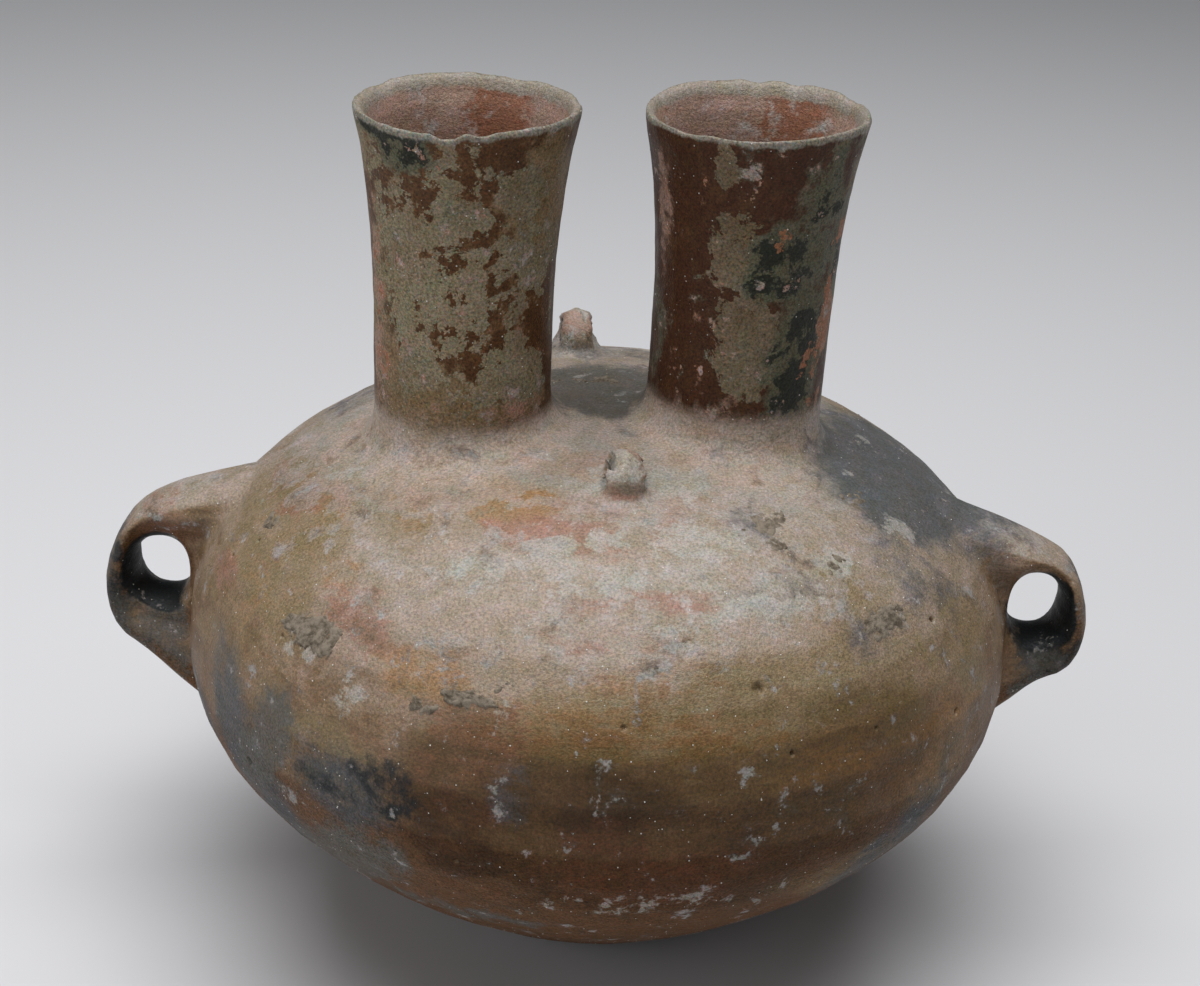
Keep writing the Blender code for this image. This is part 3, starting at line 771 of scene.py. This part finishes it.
def cloud(tree, places, per_metre, detail, rough, twist=0.0):
    """Random clouds; per_metre is about one over their size in metres."""
    sockets = {
        "Vector": places, "Scale": per_metre, "Detail": detail, "Roughness": rough, "Distortion": twist,
    }
    return node(tree, "ShaderNodeTexNoise", sockets).outputs["Fac"]


# Ragged cover, a shared effect: two clouds bite into a mark's soft strength, and what is left gets
# an edge as crisp as a flake or as soft as smoke.
COVER_SOCKETS = {
    "Strength": 0.0, "First Cloud": 0.5, "First Bite": 1.5, "Second Cloud": 0.5, "Second Bite": 1.0,
    "From": 0.4, "To": 0.6, "Most": 1.0,
}

ragged = bpy.data.node_groups.new("ragged_cover", "ShaderNodeTree")
for label, value in COVER_SOCKETS.items():
    ragged.interface.new_socket(label, in_out="INPUT", socket_type="NodeSocketFloat").default_value = value
ragged.interface.new_socket("Cover", in_out="OUTPUT", socket_type="NodeSocketFloat")
taken = ragged.nodes.new("NodeGroupInput").outputs
given = ragged.nodes.new("NodeGroupOutput").inputs["Cover"]
first_bite = sum_of(ragged, "SUBTRACT", taken["First Cloud"], 0.5)
first_bite = sum_of(ragged, "MULTIPLY", first_bite, taken["First Bite"])
second_bite = sum_of(ragged, "SUBTRACT", taken["Second Cloud"], 0.5)
second_bite = sum_of(ragged, "MULTIPLY", second_bite, taken["Second Bite"])
bitten = sum_of(ragged, "ADD", sum_of(ragged, "ADD", first_bite, second_bite), taken["Strength"])
bitten = spread(ragged, bitten, taken["From"], taken["To"])
ragged.links.new(sum_of(ragged, "MULTIPLY", bitten, taken["Most"]), given)

clay = bpy.data.materials.new("fired_clay")
clay.use_nodes = True
paint = clay.node_tree
shader = paint.nodes["Principled BSDF"]


def marked(name):
    return node(paint, "ShaderNodeAttribute", attribute_name=name).outputs["Fac"]


# The clouds that break up every mark. On the body they are drawn out along the strokes of the
# burnishing pebble, level with the belly, and on the necks they run upright.
BODY_STRETCH = (1.0, 1.0, 4.0)
NECK_STRETCH = (2.0, 2.0, 1.2)

places = node(paint, "ShaderNodeTexCoord").outputs["Object"]
place_parts = node(paint, "ShaderNodeSeparateXYZ", {0: places}).outputs
on_neck = marked("neck")
stretch_sockets = {0: on_neck, 4: BODY_STRETCH, 5: NECK_STRETCH}
stroke_stretch = node(paint, "ShaderNodeMix", stretch_sockets, data_type="VECTOR").outputs[1]
stroke_sockets = {0: places, 1: stroke_stretch}
stroke_places = node(paint, "ShaderNodeVectorMath", stroke_sockets, operation="MULTIPLY").outputs[0]
broad = cloud(paint, places, per_metre=27.0, detail=3.0, rough=0.60)
mottle = cloud(paint, places, per_metre=85.0, detail=5.0, rough=0.72, twist=0.4)
flaking = cloud(paint, places, per_metre=175.0, detail=4.0, rough=0.68)
strokes = cloud(paint, stroke_places, per_metre=95.0, detail=4.0, rough=0.70, twist=0.3)
fine_sockets = {"Vector": places, "Scale": 1500.0, "Detail": 1.5, "Roughness": 0.80}
fine_grain = node(paint, "ShaderNodeTexNoise", fine_sockets)
fine_cloud = fine_grain.outputs["Fac"]
facing = node(paint, "ShaderNodeNewGeometry").outputs["Normal"]
faces_up = node(paint, "ShaderNodeSeparateXYZ", {0: facing}).outputs["Z"]


def cover(*values):
    """Where a layer lies: one value for each socket of the ragged cover, in their order."""
    return node(paint, "ShaderNodeGroup", dict(zip(COVER_SOCKETS, values)), node_tree=ragged).outputs["Cover"]


def layered(under, rows):
    """Lays colours over one another. A row is: a colour's name, then its cover: strength, first
    cloud and its bite, second cloud and its bite, where the edge begins and ends, most cover."""
    for name, *values in rows:
        under = mixed(paint, cover(*values), under, CLAY_COLOURS[name])
    return under


def swing(cloud_value, depth, middle):
    """Moves a value up and down round a middle with a cloud."""
    return sum_of(paint, "MULTIPLY_ADD", sum_of(paint, "SUBTRACT", cloud_value, 0.5), depth, middle)


# The body, from the clay's own brown to what lies on it. Faces turned up get painted light, as more
# tan and dust colour, and faces turned down below the shoulder get painted shade, as red-brown, umber
# and a low red. Each pair of slopes, as the upward part of the normal, is followed by the strengths
# at them.
TOP_LIGHT_SLOPES = (0.25, 0.80, 0.0, 1.2)
DUST_AND_LIGHT_SLOPES = (0.42, 1.0, -0.10, 0.62)
LOW_SLOPES = (0.45, -0.35, 0.0, 1.0)
SHOULDER_LINE = (0.095, 0.125)
FILM_SHARE = 0.75
SHADE_RED = 1.2
LEAST_SHADE_RED = 0.05
SHADE_UMBER = 0.45
SHADE_PINK = 1.4

below_shoulder = spread(paint, place_parts["Z"], *SHOULDER_LINE, 1.0, 0.0)
low_shade = sum_of(paint, "MULTIPLY", spread(paint, faces_up, *LOW_SLOPES), below_shoulder)
# Painted light: faces turned up get more tan and dust colour, so they look lit from above.
painted_top_light = spread(paint, faces_up, *TOP_LIGHT_SLOPES)
dust_and_top_light = sum_of(paint, "ADD", spread(paint, faces_up, *DUST_AND_LIGHT_SLOPES), marked("dust_and_light"))
film_of_dust_and_light = sum_of(paint, "MULTIPLY", dust_and_top_light, FILM_SHARE)
# Painted shade: red-brown, umber and a low red lie thicker on faces turned down below the shoulder.
painted_shade_red = sum_of(paint, "MULTIPLY_ADD", low_shade, SHADE_RED, LEAST_SHADE_RED)
umber_and_shade = sum_of(paint, "MULTIPLY_ADD", low_shade, SHADE_UMBER, marked("umber"))
shade_pink = sum_of(paint, "MULTIPLY", marked("pink"), sum_of(paint, "MULTIPLY", low_shade, SHADE_PINK))
low_gold = sum_of(paint, "MULTIPLY", marked("orange"), low_shade)
body = layered(CLAY_COLOURS["brown"], (
    ("pale_brown", 0.5, mottle, 2.0, strokes, 1.6, 0.20, 0.85, 1.0),
    ("tan", painted_top_light, mottle, 1.2, strokes, 1.2, 0.10, 1.10, 1.0),
    ("dust_and_light", dust_and_top_light, broad, 1.4, strokes, 1.4, 0.10, 1.00, 0.66),
    ("ochre", marked("ochre"), broad, 1.2, mottle, 2.0, 0.20, 1.00, 0.84),
    ("orange", marked("orange"), mottle, 2.4, strokes, 1.6, 0.25, 1.00, 0.80),
    ("pink", marked("pink"), mottle, 2.6, strokes, 1.8, 0.28, 0.95, 0.72),
    ("dust_and_light", film_of_dust_and_light, mottle, 3.4, flaking, 1.6, 0.46, 0.66, 0.55),
    # Painted light: the pale colour round the necks' feet.
    ("pale_dust", marked("painted_foot_light"), mottle, 2.4, strokes, 1.8, 0.20, 1.05, 0.46),
    # Painted shade: the layers below, laid by low_shade, darken the faces turned down.
    ("red_brown", painted_shade_red, broad, 1.2, mottle, 2.0, 0.10, 1.00, 0.90),
    ("umber", umber_and_shade, broad, 1.0, mottle, 2.2, 0.20, 1.20, 0.74),
    ("low_red", shade_pink, mottle, 3.0, flaking, 2.0, 0.30, 0.90, 0.65),
    ("ochre", low_gold, mottle, 2.4, strokes, 1.6, 0.10, 0.80, 0.60),
))
deep_share = cover(marked("deep"), mottle, 1.6, strokes, 1.2, 0.10, 1.00, 1.0)
deep_tint = mixed(paint, deep_share, CLAY_COLOURS["plain"], CLAY_COLOURS["deep_tint"])
body = mixed(paint, 1.0, body, deep_tint, "MULTIPLY")
body = layered(body, (
    ("fire", marked("fire"), mottle, 2.2, strokes, 1.6, 0.10, 1.15, 0.84),
    ("black", marked("black"), mottle, 3.0, flaking, 2.2, 0.30, 1.05, 0.92),
    # Painted shade as well as grime: the saddle between the necks and the straps' lower roots.
    ("grime_and_shade", marked("grime_and_shade"), mottle, 1.8, flaking, 1.4, 0.15, 0.80, 0.88),
))

# The necks: rust-red clay under a grey-tan slip that has flaked off in crisp patches. The right
# neck kept less of it, and soot has crept over it in a thin green-grey film with black lace.
BETWEEN_NECKS = 0.010


def by_neck(left, right):
    """One value on the left neck and another on the right one."""
    return spread(paint, place_parts["X"], -BETWEEN_NECKS, BETWEEN_NECKS, left, right)


neck = layered(CLAY_COLOURS["rust"], (
    ("rust_brown", by_neck(0.40, 0.12), strokes, 2.6, flaking, 1.6, 0.25, 0.85, 1.0),
    ("deep_red", by_neck(0.0, 0.85), strokes, 2.2, mottle, 1.6, 0.15, 0.95, 0.90),
    ("neck_ochre", marked("ochre"), strokes, 1.8, flaking, 1.6, 0.25, 0.85, 0.90),
    ("neck_pink", marked("pink"), strokes, 2.0, flaking, 1.8, 0.30, 0.85, 0.80),
))
slip_cover = cover(marked("slip"), mottle, 3.0, flaking, 1.5, 0.46, 0.54, 1.0)
slip_cover = sum_of(paint, "MULTIPLY", slip_cover, sum_of(paint, "MULTIPLY", on_neck, by_neck(1.0, 0.62)))
slip_tone = layered(CLAY_COLOURS["slip"], (
    ("deep_slip", 0.36, broad, 2.0, strokes, 1.6, 0.15, 1.05, 1.0),
))
neck = mixed(paint, slip_cover, neck, slip_tone)
neck = layered(neck, (
    ("green_film", marked("smudge"), mottle, 2.4, flaking, 1.6, 0.15, 0.62, 0.85),
    ("smudge", marked("smudge"), mottle, 3.2, flaking, 3.0, 0.70, 0.98, 0.92),
    ("scrape", marked("scrape"), flaking, 3.4, mottle, 1.6, 0.46, 0.56, 0.95),
))

# The inside, redder where the fire burned clean, then painted shade, in black, in the holes of the
# straps and lugs, the chalky scale and the worn lips.
INSIDE_RED = 0.36
EMBER_RED = 0.8

inside_strength = sum_of(paint, "MULTIPLY_ADD", marked("ember"), EMBER_RED, INSIDE_RED)
inside_tone = layered(CLAY_COLOURS["inside"], (
    ("inside_red", inside_strength, mottle, 2.8, flaking, 1.8, 0.30, 0.80, 1.0),
    ("dust_and_light", 0.36, flaking, 2.6, mottle, 2.4, 0.35, 0.85, 0.70),
))
colour = mixed(paint, on_neck, body, neck)
colour = mixed(paint, marked("inside"), colour, inside_tone)
# Painted shade: black in the holes of the straps and lugs.
colour = layered(colour, (
    ("black", marked("hollow"), mottle, 1.4, flaking, 0.8, 0.15, 0.75, 0.97),
))
chalk_cover = cover(marked("chalk"), flaking, 3.0, mottle, 2.4, 0.38, 0.70, 0.62)
colour = mixed(paint, chalk_cover, colour, CLAY_COLOURS["chalk"])
colour = layered(colour, (
    ("lip", marked("lip"), flaking, 1.2, mottle, 1.6, 0.25, 0.75, 0.85),
))

# Fine mottling: every grain of the clay is a little lighter, redder or bluer than its neighbours,
# most of all on the necks and low on the body.
HUE_DEPTH = 0.55
COARSE_HUE_DEPTH = 0.60
STROKE_WARMTH = 0.45
FLAKE_COOLNESS = 0.60
GRAIN_DEPTHS = (1.6, 2.4)
LEAST_GRAIN = 0.25
FLAKE_LIGHT = 0.60

coarse = sum_of(paint, "MAXIMUM", on_neck, low_shade)
grain_parts = node(paint, "ShaderNodeSeparateXYZ", {0: fine_grain.outputs["Color"]}).outputs
hue_depth = sum_of(paint, "MULTIPLY_ADD", coarse, COARSE_HUE_DEPTH, HUE_DEPTH)
warm_share = swing(strokes, STROKE_WARMTH, swing(grain_parts["Y"], hue_depth, 1.0))
cool_share = swing(flaking, FLAKE_COOLNESS, swing(grain_parts["Z"], hue_depth, 1.0))
grain_light = swing(fine_cloud, spread(paint, coarse, 0.0, 1.0, *GRAIN_DEPTHS), 1.0)
grain_light = swing(flaking, FLAKE_LIGHT, sum_of(paint, "MAXIMUM", grain_light, LEAST_GRAIN))
grain_tint = node(paint, "ShaderNodeCombineXYZ", {0: warm_share, 1: 1.0, 2: cool_share}).outputs[0]
grain_sockets = {0: grain_tint, "Scale": grain_light}
grain_tint = node(paint, "ShaderNodeVectorMath", grain_sockets, operation="SCALE").outputs[0]
colour = node(paint, "ShaderNodeVectorMath", {0: colour, 1: grain_tint}, operation="MULTIPLY").outputs[0]
paint.links.new(colour, shader.inputs["Base Color"])

# Burnished where the pebble ran, matt where slip or chalk lies on it. Each pair of values
# is followed by what it turns into.
POLISHES = (0.3, 0.7, 0.42, 0.60)
MATT_ROUGHNESS = 0.75
NECK_MATTNESS = 0.45
SHEENS = (0.0, 0.8, 0.36, 0.10)

matt = sum_of(paint, "MAXIMUM", slip_cover, chalk_cover)
polish_sockets = {0: matt, 2: spread(paint, strokes, *POLISHES), 3: MATT_ROUGHNESS}
polish = node(paint, "ShaderNodeMix", polish_sockets, data_type="FLOAT").outputs[0]
paint.links.new(polish, shader.inputs["Roughness"])
matt_clay = sum_of(paint, "MAXIMUM", low_shade, sum_of(paint, "MULTIPLY", on_neck, NECK_MATTNESS))
paint.links.new(spread(paint, matt_clay, *SHEENS), shader.inputs["Specular IOR Level"])

# Relief too fine for the mesh: grain and pebble strokes.
STROKE_RELIEF = 0.55
GRAIN_RELIEF = 0.50

height = sum_of(paint, "MULTIPLY", strokes, STROKE_RELIEF)
height = sum_of(paint, "MULTIPLY_ADD", fine_cloud, GRAIN_RELIEF, height)
relief = node(paint, "ShaderNodeBump", {"Height": height, "Distance": 0.0008, "Strength": 0.60})
paint.links.new(relief.outputs["Normal"], shader.inputs["Normal"])
jar.data.materials.append(clay)

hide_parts("jar")
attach(jar, "root")


# Burial crust. Hard grey-tan earth still clings in low scabs on the shoulder, the sides and the lugs.
# Each scab is a finer skin of its own that rises out of the clay where the earth is thick.
CRUST_COLOURS = {"pale": (0.238, 0.196, 0.148, 1.0), "deep": (0.095, 0.072, 0.048, 1.0)}
CRUST_TONES = (0.36, 0.58)
CRUST_ROUGHNESS = (0.3, 0.7, 0.95, 0.80)
LEAST_CRUST = 0.22
CRUST_SPLITS = 2
CRUST_RISE = 0.00050
CRUST_SINK = 0.00030
CRUST_EDGE = (0.45, 0.75)
EDGE_LUMPS = 0.75
CRUST_LUMPS = ((0.50, 0.0050, 12.3), (0.60, 0.0021, 6.1), (0.35, 0.0009, 2.9))
CRUST_CRACKS = (1.0, 0.0034, 21.7)
CRACK_EDGE = (0.02, 0.10)
EVEN_RISE = 0.85
LUMP_RISE = 0.35
CRACK_DEPTH = 0.9
SUNK_SHARE = 0.6

crust_form = bmesh.new()
crust_form.from_mesh(jar.data)
crust_mark = crust_form.verts.layers.float["crust"]
bare = [face for face in crust_form.faces if max(corner[crust_mark] for corner in face.verts) < LEAST_CRUST]
bmesh.ops.delete(crust_form, geom=bare, context="FACES")
for _ in range(CRUST_SPLITS):
    bmesh.ops.subdivide_edges(crust_form, edges=crust_form.edges, cuts=1, use_grid_fill=True, smooth=0.0)
bmesh.ops.triangulate(crust_form, faces=crust_form.faces)
crust_mesh = bpy.data.meshes.new("burial_crust")
crust_form.to_mesh(crust_mesh)
crust_form.free()
points, normals = places_of(crust_mesh)
strength = read(crust_mesh, crust_mesh.attributes["crust"].data, "value", 1)
lumps = sum(swell(points, row) for row in CRUST_LUMPS)
cracks = 1.0 - eased(np.abs(swell(points, CRUST_CRACKS)), *CRACK_EDGE)
thick = eased(strength + EDGE_LUMPS * lumps, *CRUST_EDGE)
rise = CRUST_RISE * (EVEN_RISE + LUMP_RISE * lumps - CRACK_DEPTH * cracks) * thick
rise -= CRUST_SINK * (1.0 - thick)
points += normals * rise[:, None]
crust_mesh.vertices.foreach_set("co", points.ravel())
crust_mesh.update()
crust_form = bmesh.new()
crust_form.from_mesh(crust_mesh)
sunk = [face for face in crust_form.faces
        if all(rise[corner.index] < -CRUST_SINK * SUNK_SHARE for corner in face.verts)]
bmesh.ops.delete(crust_form, geom=sunk, context="FACES")
crust_form.to_mesh(crust_mesh)
crust_form.free()
crust_mesh.shade_smooth()
crust_mesh.materials.clear()
crust = bpy.data.objects.new("burial_crust", crust_mesh)
scene.collection.objects.link(crust)

earth = bpy.data.materials.new("burial_crust")
earth.use_nodes = True
earth_paint = earth.node_tree
earth_places = node(earth_paint, "ShaderNodeTexCoord").outputs["Object"]
earth_lumps = cloud(earth_paint, earth_places, per_metre=420.0, detail=6.0, rough=0.7)
earth_tone = spread(earth_paint, earth_lumps, *CRUST_TONES)
earth_colour = mixed(earth_paint, earth_tone, CRUST_COLOURS["deep"], CRUST_COLOURS["pale"])
earth_shader = earth_paint.nodes["Principled BSDF"]
earth_paint.links.new(earth_colour, earth_shader.inputs["Base Color"])
earth_paint.links.new(spread(earth_paint, earth_lumps, *CRUST_ROUGHNESS), earth_shader.inputs["Roughness"])
bump_sockets = {"Height": earth_lumps, "Distance": 0.0007, "Strength": 0.8}
earth_relief = node(earth_paint, "ShaderNodeBump", bump_sockets)
earth_paint.links.new(earth_relief.outputs["Normal"], earth_shader.inputs["Normal"])
crust_mesh.materials.append(earth)
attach(crust, "root")


# Grit. The clay was tempered with crushed stone and mica, and burnishing left small flakes of it
# bare all over the skin, where they catch the light. They are scattered by a node tree.
# An input is: its label, its kind and its value.
GRIT_INPUTS = (
    ("Skin", "Geometry", None), ("Per Square Metre", "Float", 26000.0), ("Smallest", "Float", 0.00006),
    ("Largest", "Float", 0.00023), ("Flatness", "Float", 0.55), ("Seed", "Int", 11),
)
GRIT_TONES = (0.35, 0.65)
GRIT_ROUGHNESS = 0.28

glint = bpy.data.materials.new("mica_grit")
glint.use_nodes = True
glint_paint = glint.node_tree
glint_shader = glint_paint.nodes["Principled BSDF"]
glint_places = node(glint_paint, "ShaderNodeTexCoord").outputs["Object"]
glint_cloud = cloud(glint_paint, glint_places, per_metre=300.0, detail=2.0, rough=0.5)
glint_tone = spread(glint_paint, glint_cloud, *GRIT_TONES)
glint_colour = mixed(glint_paint, glint_tone, CLAY_COLOURS["chalk"], CLAY_COLOURS["glint"])
glint_paint.links.new(glint_colour, glint_shader.inputs["Base Color"])
glint_shader.inputs["Roughness"].default_value = GRIT_ROUGHNESS

grit_tree = bpy.data.node_groups.new("scattered_grit", "GeometryNodeTree")
grit_sockets = {}
for label, kind, _ in GRIT_INPUTS:
    made = grit_tree.interface.new_socket(label, in_out="INPUT", socket_type="NodeSocket" + kind)
    grit_sockets[label] = made.identifier
grit_tree.interface.new_socket("Grit", in_out="OUTPUT", socket_type="NodeSocketGeometry")
taken = grit_tree.nodes.new("NodeGroupInput").outputs
given = grit_tree.nodes.new("NodeGroupOutput").inputs
is_inner = node(grit_tree, "GeometryNodeInputNamedAttribute", {"Name": "inside"}, data_type="FLOAT")
is_outer = node(
    grit_tree, "FunctionNodeCompare", {0: is_inner.outputs["Attribute"], 1: 0.5},
    data_type="FLOAT", operation="LESS_THAN",
)
scattered = node(grit_tree, "GeometryNodeDistributePointsOnFaces", {
    "Mesh": taken["Skin"], "Selection": is_outer.outputs[0], "Density": taken["Per Square Metre"],
    "Seed": taken["Seed"],
})
flake = node(grit_tree, "GeometryNodeMeshIcoSphere", {"Radius": 1.0, "Subdivisions": 1}).outputs["Mesh"]
size_sockets = {2: taken["Smallest"], 3: taken["Largest"], "Seed": taken["Seed"]}
flake_size = node(grit_tree, "FunctionNodeRandomValue", size_sockets, data_type="FLOAT").outputs[1]
flat_size = sum_of(grit_tree, "MULTIPLY", flake_size, taken["Flatness"])
flake_scale = node(grit_tree, "ShaderNodeCombineXYZ", {0: flake_size, 1: flake_size, 2: flat_size}).outputs[0]
flakes = node(grit_tree, "GeometryNodeInstanceOnPoints", {
    "Points": scattered.outputs["Points"], "Instance": flake, "Rotation": scattered.outputs["Rotation"],
    "Scale": flake_scale,
})
solid_flakes = node(grit_tree, "GeometryNodeRealizeInstances", {"Geometry": flakes.outputs["Instances"]})
grit_sources = {"Geometry": solid_flakes.outputs["Geometry"], "Material": glint}
finished_flakes = node(grit_tree, "GeometryNodeSetMaterial", grit_sources)
grit_tree.links.new(finished_flakes.outputs["Geometry"], given["Grit"])

grit = bpy.data.objects.new("mica_grit", jar.data.copy())
scene.collection.objects.link(grit)
scatter = grit.modifiers.new("scatter", "NODES")
scatter.node_group = grit_tree
for label, _, value in GRIT_INPUTS[1:]:
    scatter[grit_sockets[label]] = value
settled(grit)
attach(grit, "root")
